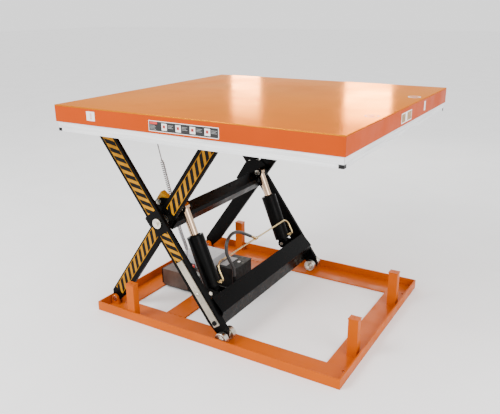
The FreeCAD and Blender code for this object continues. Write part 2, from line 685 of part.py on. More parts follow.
# ---------------------------------------------------------------- safety stay on the near outer arm
stay_s = 90
stay_low = 68
stay_high = 469
stay_half = 21.5
stay_frame = lower_frame
stay_y = outer_face + 1 + 3
stay = plate("stay_bar", polygon([(stay_low, -stay_half), (stay_high, -stay_half),
                                  (stay_high, stay_half), (stay_low, stay_half)]),
             "post_wall * 2", stay_y, stay_frame, [(stay_s, 0, "anchor_radius + bore_fit")])
keep(stay, "safety_stay")
stay_pin = rod_along_y("stay_pin", "anchor_radius", "8", stay_s, outer_face, 0, stay_frame)
stay_head = rod_along_y("stay_head", "anchor_radius * 1.9", "6", stay_s, outer_face + 8, 0,
                        stay_frame)
keep(fuse("stay_pivot", stay_pin, stay_head), "stay_pivot")

# ---------------------------------------------------------------- platform
keep(box("top_plate", "platform_length", "platform_width", "plate_thickness",
         at(-half_l, -half_w, plate_z)), "platform_top")
group("skirt_sides", [
    box(f"skirt_side{side + 1}", "platform_length", "skirt_thickness",
        "skirt_depth - plate_thickness",
        at(-half_l, min(side * half_w, side * (half_w - s.skirt_thickness)), skirt_z))
    for side in (-1, 1)])
group("skirt_ends", [
    box(f"skirt_end{side + 1}", "skirt_thickness", "platform_width - 2 * skirt_thickness",
        "skirt_depth - plate_thickness",
        at(min(side * half_l, side * (half_l - s.skirt_thickness)),
           -half_w + s.skirt_thickness, skirt_z))
    for side in (-1, 1)])

rib_half = s.inner_arm_y - s.arm_thickness / 2 - 16
group("platform_ribs", [
    box(f"rib{n}", "rib_width", "2 * inner_arm_y - arm_thickness - 32", "rib_depth",
        at(x, -rib_half, plate_z - s.rib_depth))
    for n, x in enumerate((-600, -300, 420, 600))])

track_depth = s.top_pin_depth - s.top_roller_radius - s.plate_thickness - s.running_gap
group("roller_tracks", [
    box(f"track{side + 1}", "0.45 * platform_length",
        "outer_arm_y - inner_arm_y - arm_thickness - 2",
        "top_pin_depth - top_roller_radius - plate_thickness - running_gap",
        at(20, min(side * (gap_inner + 1), side * (gap_outer - 1)), plate_z - track_depth))
    for side in (-1, 1)])

pad_depth = s.lowered_height - s.plate_thickness - s.post_top - 1
pads = []
for number, (x, y) in enumerate(post_places):
    pads.append(box(f"pad{number}", "post_size", "post_size",
                    "lowered_height - plate_thickness - post_top - 1",
                    at(x - s.post_size / 2, y - s.post_size / 2, plate_z - pad_depth)))
group("stop_pads", pads)

# ---------------------------------------------------------------- safety bar round the platform
bar_top = skirt_z + s.bar_hidden
bar_low = skirt_z - s.bar_visible
corner = 24
bar_sides = []
bar_ends = []
for side in (-1, 1):
    y = min(side * (half_w - s.bar_inset), side * (half_w - s.bar_inset - s.bar_thickness))
    bar_sides.append(box(f"bar_side{side + 1}", f"platform_length - 2 * bar_inset - {2 * corner}",
                         "bar_thickness", "bar_visible + bar_hidden",
                         at(-half_l + s.bar_inset + corner, y, bar_low)))
    x = min(side * (half_l - s.bar_inset), side * (half_l - s.bar_inset - s.bar_thickness))
    bar_ends.append(box(f"bar_end{side + 1}", "bar_thickness",
                        f"platform_width - 2 * bar_inset - {2 * corner}",
                        "bar_visible + bar_hidden",
                        at(x, -half_w + s.bar_inset + corner, bar_low)))
group("safety_bar_sides", bar_sides)
group("safety_bar_ends", bar_ends)
corner_caps = []
for sx in (-1, 1):
    for sy in (-1, 1):
        x = sx * (half_l - s.bar_inset)
        y = sy * (half_w - s.bar_inset)
        name = f"corner{sx + 1}{sy + 1}"
        whole = box(f"{name}_whole", f"{corner}", f"{corner}", "bar_visible + bar_hidden",
                    at(min(x, x - sx * corner), min(y, y - sy * corner), bar_low))
        inside = box(f"{name}_inside", f"{corner}", f"{corner}", "2 * bar_visible",
                     at(min(x - sx * s.bar_thickness, x - sx * (s.bar_thickness + corner)),
                        min(y - sy * s.bar_thickness, y - sy * (s.bar_thickness + corner)),
                        bar_low - 10))
        corner_caps.append(cut(name, whole, inside))
group("bar_corner_caps", corner_caps)

# ---------------------------------------------------------------- power pack on the cross plate
pack_z = s.rail_thickness
motor_y = -125
motor_z = pack_z + 12 + s.motor_radius
motor_x = -668
keep(box("mount_tray", "tray_length", "tray_width", "tray_thickness", at(-650, -165, pack_z)),
     "pack_tray")
motor_half = s.motor_radius
motor_case = box("motor_case", "motor_length", "2 * motor_radius", "2 * motor_radius",
                 at(motor_x + 14, motor_y - motor_half, motor_z - motor_half))
motor_feet = box("motor_feet", "motor_length * 0.7", "motor_radius * 1.4", "tray_thickness",
                 at(motor_x + 40, motor_y - motor_half * 0.7, pack_z + s.tray_thickness))
keep(fuse("motor_frame", motor_case, motor_feet), "pump_motor")
keep(box("motor_cover", "14", "motor_radius * 1.8", "motor_radius * 1.8",
         at(motor_x, motor_y - motor_half * 0.9, motor_z - motor_half * 0.9)), "motor_end_cover")
terminal_x = motor_x + 134
terminal_top = motor_z + motor_half + s.terminal_height
terminal = box("terminal_block", "terminal_length", "terminal_width", "terminal_height",
               at(terminal_x, motor_y - s.terminal_width / 2, motor_z + motor_half))
cord_x = terminal_x + 38
cord_gland = rod_along_z("cord_gland", "coil_radius", "gland_height", cord_x, motor_y,
                         terminal_top)
group("terminal_box", [terminal, cord_gland])

tank_x = -600
tank_y = -45
keep(box("tank", "tank_length", "tank_width", "tank_height", at(tank_x, tank_y, pack_z + 24)),
     "oil_tank")
keep(rod_along_z("filler", "coil_radius * 1.5", "18", tank_x + 60, tank_y + 140,
                 pack_z + 24 + s.tank_height), "tank_filler_cap")
valve_x = motor_x + 14 + s.motor_length
valve_z = pack_z + 18
valve_top = valve_z + s.valve_height
keep(box("valve", "valve_length", "valve_width", "valve_height",
         at(valve_x, motor_y - s.valve_width / 2, valve_z)), "valve_block")
coil_x = valve_x + 20
coil_y = motor_y - 10
solenoid = rod_along_z("solenoid", "solenoid_radius", "solenoid_height", coil_x, coil_y, valve_top)
stem_bore = rod_along_z("stem_bore", "stem_radius + bore_fit", "solenoid_height", coil_x, coil_y,
                        valve_top + 22)
keep(cut("lowering_solenoid", solenoid, stem_bore), "lowering_solenoid")
knob_travel = 4
knob_z = valve_top + s.solenoid_height + knob_travel + 1
keep(fuse("lowering_knob",
          rod_along_z("knob_head", "knob_radius", "knob_height", coil_x, coil_y, knob_z),
          rod_along_z("knob_stem", "stem_radius", "stem_length", coil_x, coil_y, knob_z - 20)),
     "lowering_knob")
keep(box("control_case", "box_length", "box_width", "box_height", at(-345, -10, pack_z + 12)),
     "control_box")
keep(box("control_lid", "box_length + 6", "box_width + 6", "4",
         at(-348, -13, pack_z + 12 + s.box_height)), "control_box_lid")

# ---------------------------------------------------------------- limit switch by the near crossing
keep(box("switch_case", "switch_length", "switch_width", "switch_height",
         at(10, -gusset_face, 62), inner_frame), "limit_switch")

# ---------------------------------------------------------------- curly control cord
cord_top = V(-531, -336, plate_z)
plug_height = 40
cord_foot = V(cord_x, motor_y, terminal_top + s.gland_height)


def cord_point(x, y, share):
    """A point of the cord at a share of the platform's height."""
    return V(x, y, share * top_z)


coil_low = cord_point(-474, -147, 0.231)
coil_high = cord_point(-501, -292, 0.692)
low_route = [cord_foot, cord_foot + V(0, 0, 50), coil_low]
coil_route = [coil_low, cord_point(-482, -196, 0.334), cord_point(-486, -232, 0.446),
              cord_point(-492, -266, 0.557), coil_high]
high_route = [coil_high, cord_point(-505, -302, 0.74), cord_point(-514, -318, 0.785),
              cord_point(-523, -330, 0.843), cord_point(-531, -336, 0.907),
              cord_top - V(0, 0, plug_height)]
low_lead = cord_solid("cord_low_lead", low_route, s.cord_radius)
high_lead = cord_solid("cord_high_lead", high_route, s.cord_radius)
coil = cord_solid("cord_coil", coil_route, s.coil_radius)
keep(fuse("coil_cord", low_lead, coil, high_lead), "coil_cord")
keep(rod_along_z("cord_socket_body", "coil_radius", f"{plug_height}", cord_top.x, cord_top.y,
                 plate_z - plug_height), "cord_connector")

# ---------------------------------------------------------------- checks and export
doc.recompute()
for thing in doc.Objects:
    if "Invalid" in thing.State or "Error" in thing.State:
        raise RuntimeError(f"{thing.Name} failed: {thing.State}")
labels = [thing.Label for thing in kept]
if len(set(labels)) != len(labels):
    raise RuntimeError("two sub-parts share a label")
os.makedirs("parts", exist_ok=True)
for thing in kept:
    if thing.Shape.isNull() or not thing.Shape.isValid():
        raise RuntimeError(f"{thing.Label} has no valid shape")
    thing.Shape.exportStep(f"parts/{thing.Label}.step")
print(len(kept), "sub-parts")
low_fold = rest_degrees - math.degrees(lowered_angle)
print(f"fold {low_fold:.4f} deg, rest {rest_degrees:.4f}, roller x {roller_x:.3f}")
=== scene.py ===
import json
import math
import bpy
from mathutils import Matrix, Vector


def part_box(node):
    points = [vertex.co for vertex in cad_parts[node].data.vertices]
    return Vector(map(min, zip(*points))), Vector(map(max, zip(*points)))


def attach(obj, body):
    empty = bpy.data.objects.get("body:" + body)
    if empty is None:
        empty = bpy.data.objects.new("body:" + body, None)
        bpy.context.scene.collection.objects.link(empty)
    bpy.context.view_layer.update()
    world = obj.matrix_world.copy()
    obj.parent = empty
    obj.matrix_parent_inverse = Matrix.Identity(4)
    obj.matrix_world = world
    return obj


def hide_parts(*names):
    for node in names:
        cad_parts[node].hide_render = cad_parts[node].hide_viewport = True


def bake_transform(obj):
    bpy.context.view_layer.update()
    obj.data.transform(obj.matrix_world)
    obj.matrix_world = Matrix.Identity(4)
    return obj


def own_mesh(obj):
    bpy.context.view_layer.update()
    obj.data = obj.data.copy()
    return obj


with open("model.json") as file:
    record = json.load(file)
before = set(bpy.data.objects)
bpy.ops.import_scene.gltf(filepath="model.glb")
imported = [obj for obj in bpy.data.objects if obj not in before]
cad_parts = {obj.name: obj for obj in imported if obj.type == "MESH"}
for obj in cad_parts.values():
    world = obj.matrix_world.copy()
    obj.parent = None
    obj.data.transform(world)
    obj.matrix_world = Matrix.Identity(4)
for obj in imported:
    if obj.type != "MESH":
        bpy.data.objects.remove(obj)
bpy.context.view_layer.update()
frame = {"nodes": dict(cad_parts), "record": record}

NODES = frame["nodes"]


# ---------------------------------------------------------------- sizes from the CAD, in millimetres
def extent(node):
    """The lowest and highest corners of a CAD part at rest, to a tenth of a millimetre."""
    return [[round(1000 * c, 1) for c in corner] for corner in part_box(node)]


HALF_LENGTH, HALF_WIDTH, TOP = extent("platform_top")[1]
SKIRT_LOW = extent("skirt_sides")[0][2]
BAR_X, BAR_Y, _ = extent("bar_corner_caps")[1]
BAR_CORNER = 24
INNER_FACE = extent("inner_arm_far")[1][1]
OUTER_FACE = extent("outer_arm_far")[1][1]
CROSS_LEFT, CROSS_NEAR, _ = extent("base_cross_plate")[0]
_, CROSS_FAR, RAIL_TOP = extent("base_cross_plate")[1]
LID_TOP = extent("control_box_lid")[1][2]
STAY_FACE = extent("safety_stay")[0][1]
PLUG_LOW = extent("cord_connector")[0][2]
GLAND_TOP = extent("terminal_box")[1][2]

# ---------------------------------------------------------------- camera
LENS = 42.391872
AZIMUTH = math.radians(31.215)
ELEVATION = math.radians(18.856)
ROLL = math.radians(0.55)
CAMERA_PLACE = (1.626, -2.851, 1.726)
back = Vector((math.sin(AZIMUTH) * math.cos(ELEVATION),
               -math.cos(AZIMUTH) * math.cos(ELEVATION), math.sin(ELEVATION)))
level = (-back).cross(Vector((0, 0, 1))).normalized()
down = (-back).cross(level)
right = level * math.cos(ROLL) + down * math.sin(ROLL)
up = level * math.sin(ROLL) - down * math.cos(ROLL)
camera_data = bpy.data.cameras.new("camera")
camera_data.sensor_width = 36
camera_data.lens = LENS
camera = bpy.data.objects.new("camera", camera_data)
bpy.context.collection.objects.link(camera)
turn = Matrix((right, up, back)).transposed().to_4x4()
camera.matrix_world = Matrix.Translation(CAMERA_PLACE) @ turn
bpy.context.scene.camera = camera


# ---------------------------------------------------------------- materials
def new_material(name):
    material = bpy.data.materials.new(name)
    material.use_nodes = True
    tree = material.node_tree
    return material, tree, tree.nodes["Principled BSDF"]


def noise(tree, scale, detail=4.0, stretch=None):
    """Noise over the object's own coordinates; stretch scales each axis."""
    coords = tree.nodes.new("ShaderNodeTexCoord")
    mapping = tree.nodes.new("ShaderNodeMapping")
    if stretch:
        mapping.inputs["Scale"].default_value = stretch
    texture = tree.nodes.new("ShaderNodeTexNoise")
    texture.inputs["Scale"].default_value = scale
    texture.inputs["Detail"].default_value = detail
    tree.links.new(coords.outputs["Object"], mapping.inputs["Vector"])
    tree.links.new(mapping.outputs["Vector"], texture.inputs["Vector"])
    return texture.outputs["Fac"]


def ramp(tree, source, low, high, start=0.35, end=0.65):
    blend = tree.nodes.new("ShaderNodeValToRGB")
    blend.color_ramp.elements[0].position = start
    blend.color_ramp.elements[1].position = end
    blend.color_ramp.elements[0].color = (*low, 1)
    blend.color_ramp.elements[1].color = (*high, 1)
    tree.links.new(source, blend.inputs["Fac"])
    return blend.outputs["Color"]


def grey(value):
    return (value, value, value)


def finish(name, color, rough=0.4, metal=0.0, spread=0.12, patch=6.0, grain=400.0, bump=0.05,
           edge=0.0015, coat=0.0, stretch=None, specular=0.5, tint=(1, 1, 1)):
    """A finish with patches of tone, uneven gloss, a fine grain and softened edges."""
    material, tree, shader = new_material(name)
    low = tuple(c * (1 - spread) for c in color)
    high = tuple(min(1.0, c * (1 + spread)) for c in color)
    tree.links.new(ramp(tree, noise(tree, patch, stretch=stretch), low, high),
                   shader.inputs["Base Color"])
    tree.links.new(ramp(tree, noise(tree, patch * 2.3, stretch=stretch), grey(rough * 0.8),
                        grey(min(1.0, rough * 1.25))), shader.inputs["Roughness"])
    shader.inputs["Metallic"].default_value = metal
    shader.inputs["Specular IOR Level"].default_value = specular
    shader.inputs["Specular Tint"].default_value = (*tint, 1)
    if coat:
        shader.inputs["Coat Weight"].default_value = coat
        shader.inputs["Coat Roughness"].default_value = 0.06
    relief = tree.nodes.new("ShaderNodeBump")
    relief.inputs["Strength"].default_value = bump
    relief.inputs["Distance"].default_value = 0.001
    tree.links.new(noise(tree, grain, stretch=stretch), relief.inputs["Height"])
    if edge:
        soften = tree.nodes.new("ShaderNodeBevel")
        soften.inputs["Radius"].default_value = edge
        tree.links.new(soften.outputs["Normal"], relief.inputs["Normal"])
    tree.links.new(relief.outputs["Normal"], shader.inputs["Normal"])
    return material


ORANGE = (0.42, 0.050, 0.0)
MATERIALS = {
    "orange_paint": finish("orange_paint", ORANGE, rough=0.36, spread=0.04, patch=3, grain=250,
                           bump=0.05, edge=0.003, specular=0.05),
    "base_paint": finish("base_paint", (0.46, 0.085, 0.0), rough=0.38, spread=0.06, patch=5,
                         grain=260, bump=0.06, edge=0.002, specular=0.1),
    "arm_paint": finish("arm_paint", grey(0.002), rough=0.30, spread=0.25, patch=7, grain=240,
                        bump=0.04, edge=0.0015, specular=0.05),
    "zinc_steel": finish("zinc_steel", (0.70, 0.67, 0.58), rough=0.28, metal=1.0, spread=0.15,
                         patch=40, grain=600, bump=0.1, edge=0.001),
    "roller_steel": finish("roller_steel", (0.55, 0.52, 0.45), rough=0.32, metal=1.0, spread=0.2,
                           patch=30, grain=500, bump=0.15, edge=0.001),
    "chrome_rod": finish("chrome_rod", (0.52, 0.36, 0.24), rough=0.12, metal=1.0, spread=0.08,
                         patch=20, grain=900, bump=0.03, edge=0.001),
    "black_steel": finish("black_steel", grey(0.003), rough=0.35, spread=0.3, patch=14,
                          specular=0.08),
    "black_plastic": finish("black_plastic", grey(0.006), rough=0.45, spread=0.3, patch=20,
                            grain=900, bump=0.2, specular=0.2),
    "pad_rubber": finish("pad_rubber", grey(0.03), rough=0.7, spread=0.3, patch=20, bump=0.2),
    "bar_aluminium": finish("bar_aluminium", (0.90, 0.91, 0.92), rough=0.36, metal=0.6,
                            spread=0.10, patch=6, grain=60, bump=0.15, edge=0.001,
                            stretch=(0.6, 0.6, 14)),
    "motor_paint": finish("motor_paint", (0.075, 0.045, 0.033), rough=0.4, metal=0.2, spread=0.25,
                          patch=14, bump=0.2),
    "tank_plastic": finish("tank_plastic", (0.42, 0.43, 0.45), rough=0.32, spread=0.10, patch=9,
                           bump=0.1, edge=0.006),
    "lid_plastic": finish("lid_plastic", (0.32, 0.33, 0.34), rough=0.4, spread=0.12, patch=12,
                          edge=0.002),
    "valve_metal": finish("valve_metal", (0.62, 0.60, 0.56), rough=0.35, metal=0.9, spread=0.15,
                          patch=20),
    "red_plastic": finish("red_plastic", (0.55, 0.02, 0.015), rough=0.3, spread=0.1, patch=30),
    "yellow_plastic": finish("yellow_plastic", (0.42, 0.19, 0.0), rough=0.35, spread=0.1,
                             patch=20, edge=0.003),
    "stay_paint": finish("stay_paint", (0.40, 0.36, 0.29), rough=0.3, metal=0.55, spread=0.2,
                         patch=9, grain=200, bump=0.1),
    "cord_grey": finish("cord_grey", (0.26, 0.26, 0.27), rough=0.5, spread=0.2, patch=60, edge=0),
    "hose_rubber": finish("hose_rubber", grey(0.010), rough=0.42, spread=0.3, patch=60,
                          grain=900, bump=0.3, edge=0),
    "zinc_pipe": finish("zinc_pipe", (0.62, 0.46, 0.22), rough=0.26, metal=1.0, spread=0.2,
                        patch=30, edge=0),
}
for part in frame["record"]["subparts"]:
    mesh = NODES[part["node"]].data
    mesh.materials.clear()
    mesh.materials.append(MATERIALS[part["material_slot"]])

# the platform's top is glossier than its skirts and shows long brushed-out waves in the paint; its
# lighter, yellower colour is painted light, a lit copy of the skirts' orange paint, and its metallic
# orange-tinted gloss stands in for golden reflections on the top
mesh = NODES["platform_top"].data
mesh.materials.clear()
mesh.materials.append(finish("top_paint_lit", (0.64, 0.20, 0.0), rough=0.17, metal=0.8, spread=0.10,
                             patch=1.6, grain=5, bump=0.4, edge=0.003, specular=0.02,
                             tint=(1.0, 0.42, 0.0)))


TAPE_WIDTH = 0.06
STRIPE_PITCH = 0.055
YELLOW_SHARE = 0.44
BORDER_WIDTH = 0.0025


def striped(name):
    """Hazard tape: diagonal black and yellow bands inside a thin yellow border. Sizes in metres."""
    material, tree, shader = new_material(name)
    uv = tree.nodes.new("ShaderNodeUVMap")
    split = tree.nodes.new("ShaderNodeSeparateXYZ")
    tree.links.new(uv.outputs["UV"], split.inputs["Vector"])

    def maths(operation, first, second):
        node = tree.nodes.new("ShaderNodeMath")
        node.operation = operation
        for socket, value in zip(node.inputs, (first, second)):
            if isinstance(value, float):
                socket.default_value = value
            else:
                tree.links.new(value, socket)
        return node.outputs[0]

    along = maths("SUBTRACT", split.outputs["X"], split.outputs["Y"])
    phase = maths("FRACT", maths("DIVIDE", along, STRIPE_PITCH), 0.0)
    band = maths("LESS_THAN", phase, YELLOW_SHARE)
    off_centre = maths("ABSOLUTE", maths("SUBTRACT", split.outputs["Y"], TAPE_WIDTH / 2), 0.0)
    border = maths("GREATER_THAN", off_centre, TAPE_WIDTH / 2 - BORDER_WIDTH)
    yellow = maths("MAXIMUM", band, border)
    scuffs = noise(tree, 25)
    pale = ramp(tree, scuffs, (0.36, 0.15, 0.0), (0.45, 0.20, 0.0))
    dark = ramp(tree, scuffs, grey(0.002), grey(0.005))
    mix = tree.nodes.new("ShaderNodeMix")
    mix.data_type = "RGBA"
    tree.links.new(yellow, mix.inputs["Factor"])
    tree.links.new(dark, mix.inputs["A"])
    tree.links.new(pale, mix.inputs["B"])
    tree.links.new(mix.outputs["Result"], shader.inputs["Base Color"])
    tree.links.new(ramp(tree, noise(tree, 30), grey(0.35), grey(0.5)), shader.inputs["Roughness"])
    shader.inputs["Specular IOR Level"].default_value = 0.08
    return material


LABEL_BLACK = finish("label_black", grey(0.004), rough=0.35, spread=0.2, patch=40, edge=0)
LABEL_WHITE = finish("label_white", (0.82, 0.80, 0.78), rough=0.4, spread=0.05, patch=40, edge=0)
LABEL_RED = finish("label_red", (0.55, 0.03, 0.02), rough=0.4, spread=0.1, patch=40, edge=0)
LABEL_GREY = finish("label_grey", grey(0.28), rough=0.4, spread=0.1, patch=40, edge=0)
LABEL_BROWN = finish("label_brown", (0.30, 0.17, 0.05), rough=0.4, spread=0.3, patch=40, edge=0)
LABEL_PINK = finish("label_pink", (0.75, 0.42, 0.40), rough=0.4, spread=0.2, patch=60, edge=0)
WELD = finish("weld", (0.55, 0.12, 0.0), rough=0.2, spread=0.1, patch=60, grain=300, bump=0.6,
              edge=0, coat=0.5)


# ---------------------------------------------------------------- small shapes
def mesh_object(name, vertices, faces, material, body=None, smooth=False):
    mesh = bpy.data.meshes.new(name)
    mesh.from_pydata([tuple(v) for v in vertices], [], faces)
    mesh.materials.append(material)
    if smooth:
        mesh.polygons.foreach_set("use_smooth", [True] * len(mesh.polygons))
    mesh.update()
    thing = bpy.data.objects.new(name, mesh)
    bpy.context.collection.objects.link(thing)
    if body:
        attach(thing, body)
    return thing


BOX_FACES = [(0, 1, 3, 2), (4, 6, 7, 5), (0, 4, 5, 1), (2, 3, 7, 6), (0, 2, 6, 4), (1, 5, 7, 3)]


def block(name, one, other, material, body, place=Matrix.Identity(4)):
    """A box between two opposite corners given in millimetres, in the frame of place."""
    xs, ys, zs = (sorted(pair) for pair in zip(one, other))
    corners = [place @ (Vector((x, y, z)) / 1000) for x in xs for y in ys for z in zs]
    piece = mesh_object(name, corners, BOX_FACES, material, body)
    return piece


def tube(name, points, radius, material, sides=10):
    """A round tube swept along points, with closed ends."""
    vertices = []
    normal = None
    for i, point in enumerate(points):
        heading = (points[min(i + 1, len(points) - 1)] - points[max(i - 1, 0)]).normalized()
        if normal is None:
            normal = heading.orthogonal().normalized()
        normal = (normal - heading * normal.dot(heading)).normalized()
        side = heading.cross(normal)
        for k in range(sides):
            a = 2 * math.pi * k / sides
            vertices.append(point + (normal * math.cos(a) + side * math.sin(a)) * radius)
    faces = []
    for i in range(len(points) - 1):
        for k in range(sides):
            n = (k + 1) % sides
            faces.append((i * sides + k, i * sides + n, (i + 1) * sides + n, (i + 1) * sides + k))
    last = (len(points) - 1) * sides
    faces.append(tuple(reversed(range(sides))))
    faces.append(tuple(range(last, last + sides)))
    return mesh_object(name, vertices, faces, material, smooth=True)


def route_points(name, controls):
    """Points along a smooth spline with these control points, in metres."""
    curve = bpy.data.curves.new(name, "CURVE")
    curve.dimensions = "3D"
    curve.resolution_u = 20
    spline = curve.splines.new("NURBS")
    spline.points.add(len(controls) - 1)
    for target, point in zip(spline.points, controls):
        target.co = (*(c / 1000 for c in point), 1)
    spline.order_u = 3
    spline.use_endpoint_u = True
    holder = bpy.data.objects.new(name, curve)
    line = bpy.data.meshes.new_from_object(holder)
    points = [v.co.copy() for v in line.vertices]
    bpy.data.objects.remove(holder)
    clean = [points[0]]
    for point in points[1:]:
        if (point - clean[-1]).length > 1e-4:
            clean.append(point)
    return clean


def length_of(points):
    return sum((b - a).length for a, b in zip(points, points[1:]))


# ---------------------------------------------------------------- cords
TEE = Vector((-70, 13, 388))
BRANCH = Vector((2, -73, 42)).normalized()
BRANCH_LENGTH = 74
HOSE_RADIUS = 0.0095
hose_controls = [TEE + BRANCH * BRANCH_LENGTH, (-67, -118, 463), (-64, -178, 495),
                 (-60, -240, 516), (-56, -300, 514), (-52, -342, 478), (-46, -347, 424),
                 (-38, -325, 372), (-30, -297, 318), (-30, -297, 272)]
hose_path = route_points("hose_route", hose_controls)
hose = tube("hydraulic_hose_visual", hose_path, HOSE_RADIUS, MATERIALS["hose_rubber"], sides=16)
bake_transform(hose)
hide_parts("hydraulic_hose")

FOOT = Vector((-496, -125, GLAND_TOP))
cord_controls = [FOOT, FOOT + Vector((0, 0, 50)), (-474, -147, 290), (-482, -196, 420),
                 (-486, -232, 560), (-492, -266, 700), (-501, -292, 830), (-508, -304, 900),
                 (-514, -318, 975), (-523, -330, 1060), (-531, -336, 1140),
                 (-531, -336, PLUG_LOW)]
centre_line = route_points("coil_route", cord_controls)
COIL_LOW, COIL_HIGH = 0.275, 0.90
COIL_RADIUS = 0.0085
COIL_PITCH = 0.0125
CORD_RADIUS = 0.0034
STEPS_PER_TURN = 14
END_TURNS = 1.5


def along_line(points, distance):
    """(point, heading) at a distance along a polyline."""
    for a, b in zip(points, points[1:]):
        span = (b - a).length
        if distance <= span:
            return a + (b - a) * (distance / span), (b - a) / span
        distance -= span
    return points[-1], (points[-1] - points[-2]).normalized()


first = next(i for i, p in enumerate(centre_line) if p.z > COIL_LOW)
last = next(i for i, p in enumerate(centre_line) if p.z > COIL_HIGH)
coil_line = centre_line[first:last]
coil_length = length_of(coil_line)
count = int(coil_length / COIL_PITCH * STEPS_PER_TURN)
cord_path = [p.copy() for p in centre_line[:first]]
for i in range(count + 1):
    middle, heading = along_line(coil_line, coil_length * i / count)
    side = heading.cross(Vector((0, 1, 0))).normalized()
    other = heading.cross(side)
    angle = 2 * math.pi * i / STEPS_PER_TURN
    # the first and last turns widen from nothing to the full radius
    grow = min(1.0, i / STEPS_PER_TURN / END_TURNS, (count - i) / STEPS_PER_TURN / END_TURNS)
    cord_path.append(middle + (side * math.cos(angle) + other * math.sin(angle))
                     * COIL_RADIUS * grow)
cord_path += [p.copy() for p in centre_line[last:]]
cord = tube("coil_cord_visual", cord_path, CORD_RADIUS, MATERIALS["cord_grey"], sides=8)
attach(cord, "root")
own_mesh(cord)
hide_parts("coil_cord")

# ---------------------------------------------------------------- hazard tape on the arms
PIVOT_X, PIN_Z, TOP_PIN_Z, ARM = -757, 44.3, 1195, 1415
theta = math.asin((TOP_PIN_Z - PIN_Z) / ARM)
centre = Vector((PIVOT_X + ARM / 2 * math.cos(theta), 0, (PIN_Z + TOP_PIN_Z) / 2)) / 1000
inner_place = Matrix.Translation(centre) @ Matrix.Rotation(-theta, 4, "Y")
outer_place = Matrix.Translation(centre) @ Matrix.Rotation(math.pi + theta, 4, "Y")
TAPE_THICKNESS = 0.4
tape_material = striped("hazard_tape")


def tape(name, place, start, end, edge, face, body):
    """A strip along an arm from start to end, one long edge at edge, on the arm's outer face."""
    low = (start, face, edge)
    high = (end, face + math.copysign(TAPE_THICKNESS, face), edge + 1000 * TAPE_WIDTH)
    strip = block(name, low, high, tape_material, body, place)
    layer = strip.data.uv_layers.new(name="UVMap")
    to_arm = place.inverted()
    for loop in strip.data.loops:
        local = to_arm @ strip.data.vertices[loop.vertex_index].co
        layer.data[loop.index].uv = (local.x, local.z - edge / 1000)


# local X runs up each arm; local Z points up and left on the inner arms, down and left on the
# outer ones
for side, where in ((-1, "near"), (1, "far")):
    inner = side * INNER_FACE
    outer = side * OUTER_FACE
    tape(f"tape_inner_upper_{where}", inner_place, 72, 640, -34, inner, "inner_arms")
    tape(f"tape_inner_lower_{where}", inner_place, -645, -66, -21, inner, "inner_arms")
    tape(f"tape_outer_upper_{where}", outer_place, 66, 640, -30, outer, "outer_arms")
    tape(f"tape_outer_lower_{where}", outer_place, -236, -66, -30, outer, "outer_arms")


# ---------------------------------------------------------------- labels
STICKER = 0.3


def front_label(name, x0, x1, z0, z1, layers, material):
    """A sticker on the near skirt; layers lifts it off the ones below."""
    y = -HALF_WIDTH - STICKER * layers
    block(name, (x0, y, z0), (x1, y - STICKER, z1), material, "platform")


front_label("label_border", -177, 215, 1181, 1231, 0, LABEL_WHITE)
front_label("label_ground", -174, 212, 1184, 1228, 1, LABEL_BLACK)
front_label("label_tag", -170, -126, 1215, 1226, 2, LABEL_RED)
for row in range(4):
    front_label(f"label_tag_line{row}", -168, -134 - 6 * (row % 2), 1190 + 6 * row,
                1192 + 6 * row, 2, LABEL_GREY)
for number in range(4):
    x = -100 + 80 * number
    front_label(f"sign{number}", x, x + 30, 1190, 1222, 2, LABEL_WHITE)
    front_label(f"sign_mark{number}", x + 7, x + 21, 1200, 1214, 3, LABEL_RED)
    front_label(f"sign_dot{number}", x + 11, x + 17, 1204, 1210, 4, LABEL_BLACK)
    for row in range(3):
        front_label(f"sign_line{number}_{row}", x + 36, x + 66 - 7 * (row % 2), 1202 + 6 * row,
                    1204 + 6 * row, 2, LABEL_GREY)
front_label("small_label", -576, -521, 1194, 1240, 0, LABEL_WHITE)
front_label("small_label_line", -552, -540, 1202, 1232, 1, LABEL_PINK)


def side_label(name, y0, y1, z0, z1, layers, material):
    """A sticker on the right skirt."""
    x = HALF_LENGTH + STICKER * layers
    block(name, (x, y0, z0), (x + STICKER, y1, z1), material, "platform")


side_label("plate_border", -84, 82, 1182, 1232, 0, LABEL_WHITE)
side_label("plate_left", -78, -22, 1187, 1227, 1, LABEL_BROWN)
side_label("plate_right", 8, 76, 1187, 1227, 1, LABEL_BROWN)
side_label("side_strip", 305, 330, 1190, 1240, 0, LABEL_WHITE)


RING_THICKNESS = 0.4
RING_RADIUS = 34
RING_X = 741
MARK = 10


def ring_label(name, x, y, radius):
    """A round sticker outline lying on the platform."""
    sides = 40
    inner_share = 0.82
    vertices = []
    for k in range(sides):
        a = 2 * math.pi * k / sides
        for r in (radius, radius * inner_share):
            for z in (TOP, TOP + RING_THICKNESS):
                vertices.append(Vector((x + r * math.cos(a), y + r * math.sin(a), z)) / 1000)
    faces = []
    for k in range(sides):
        a, b = 4 * k, 4 * ((k + 1) % sides)
        faces += [(a + 1, b + 1, b + 3, a + 3), (a, a + 2, b + 2, b), (a, b, b + 1, a + 1),
                  (a + 2, a + 3, b + 3, b + 2)]
    ring = mesh_object(name, vertices, faces, LABEL_WHITE, "platform")


for number, y in enumerate((-334, 318)):
    ring_label(f"ring_sticker{number}", RING_X, y, RING_RADIUS)
    block(f"ring_mark{number}", (RING_X - MARK, y - MARK, TOP),
          (RING_X + MARK, y + MARK, TOP + RING_THICKNESS), LABEL_RED, "platform")

